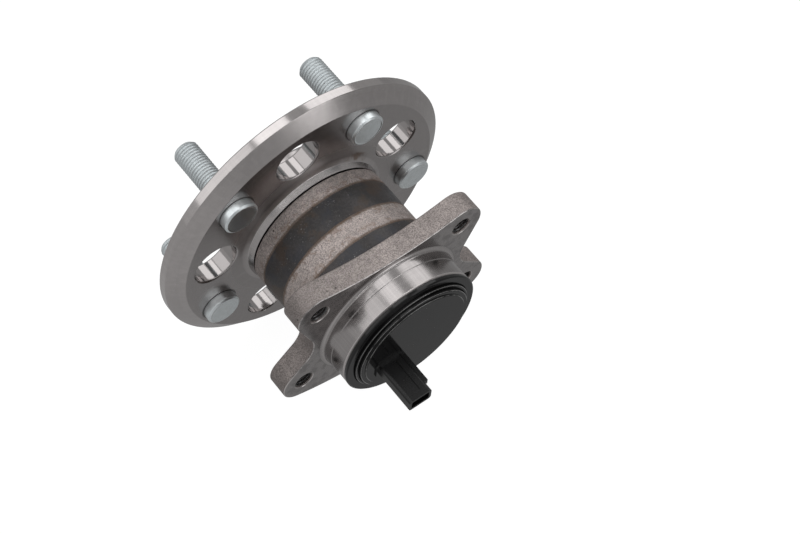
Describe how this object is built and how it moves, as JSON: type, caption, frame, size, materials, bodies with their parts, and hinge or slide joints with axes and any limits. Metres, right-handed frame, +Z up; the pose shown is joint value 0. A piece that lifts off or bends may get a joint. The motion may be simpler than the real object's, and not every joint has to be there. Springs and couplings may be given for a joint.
{
  "type": "wheel hub bearing",
  "caption": "Flanged wheel hub unit: a studded wheel flange turning in a bolted outer ring on two ball rows, with a plastic sensor cap and plug at the inner end.",
  "frame": {"origin": "centre of the wheel mounting face, the outboard face of the hub flange, on the spin axis", "axes": "+Y along the spin axis, outboard towards the wheel; +Z up, with the straight edge of the carrier flange on top; +X completes the right-handed frame"},
  "size_m": [0.1506, 0.1389, 0.1506],
  "materials": {
    "ring_steel": "forged and part machined",
    "hub_steel": "machined",
    "race_steel": "ground",
    "nut_steel": "machined",
    "stud_zinc": "zinc plated",
    "sheet_steel": "pressed sheet",
    "cap_plastic": "moulded",
    "cage_plastic": "moulded",
    "sensor_plastic": "moulded",
    "seal_rubber": "moulded",
    "magnet_rubber": "ground",
    "terminal_brass": "tinned"
  },
  "bodies": {
    "carrier_side": {"outer_ring": "ring_steel", "sensor_cap": "cap_plastic", "cap_sleeve": "sheet_steel", "cap_ring_seal": "seal_rubber", "sensor_element": "sensor_plastic", "terminal_1": "terminal_brass", "terminal_2": "terminal_brass", "seal_case": "sheet_steel", "seal_lip": "seal_rubber"},
    "hub": {"hub_spindle": "hub_steel", "inner_ring": "race_steel", "hub_nut": "nut_steel", "encoder_carrier": "sheet_steel", "encoder_magnet": "magnet_rubber", "seal_slinger": "sheet_steel", "wheel_stud_1": "stud_zinc", "wheel_stud_2": "stud_zinc", "wheel_stud_3": "stud_zinc", "wheel_stud_4": "stud_zinc", "wheel_stud_5": "stud_zinc"},
    "outboard_row": {"outboard_cage": "cage_plastic", "outboard_balls": "race_steel"},
    "inboard_row": {"inboard_cage": "cage_plastic", "inboard_balls": "race_steel"}
  },
  "joints": [
    {"name": "hub_spin", "type": "hinge", "parent": "carrier_side", "child": "hub", "pos_m": [0, 0, 0], "axis": [0, 1, 0], "continuous": true},
    {"name": "outboard_row_spin", "type": "hinge", "parent": "carrier_side", "child": "outboard_row", "pos_m": [0, -0.03, 0], "axis": [0, 1, 0], "continuous": true},
    {"name": "inboard_row_spin", "type": "hinge", "parent": "carrier_side", "child": "inboard_row", "pos_m": [0, -0.055, 0], "axis": [0, 1, 0], "continuous": true}
  ],
  "couplings": [
    {"joint": "outboard_row_spin", "follows": "hub_spin", "ratio": 0.408},
    {"joint": "inboard_row_spin", "follows": "hub_spin", "ratio": 0.408}
  ]
}
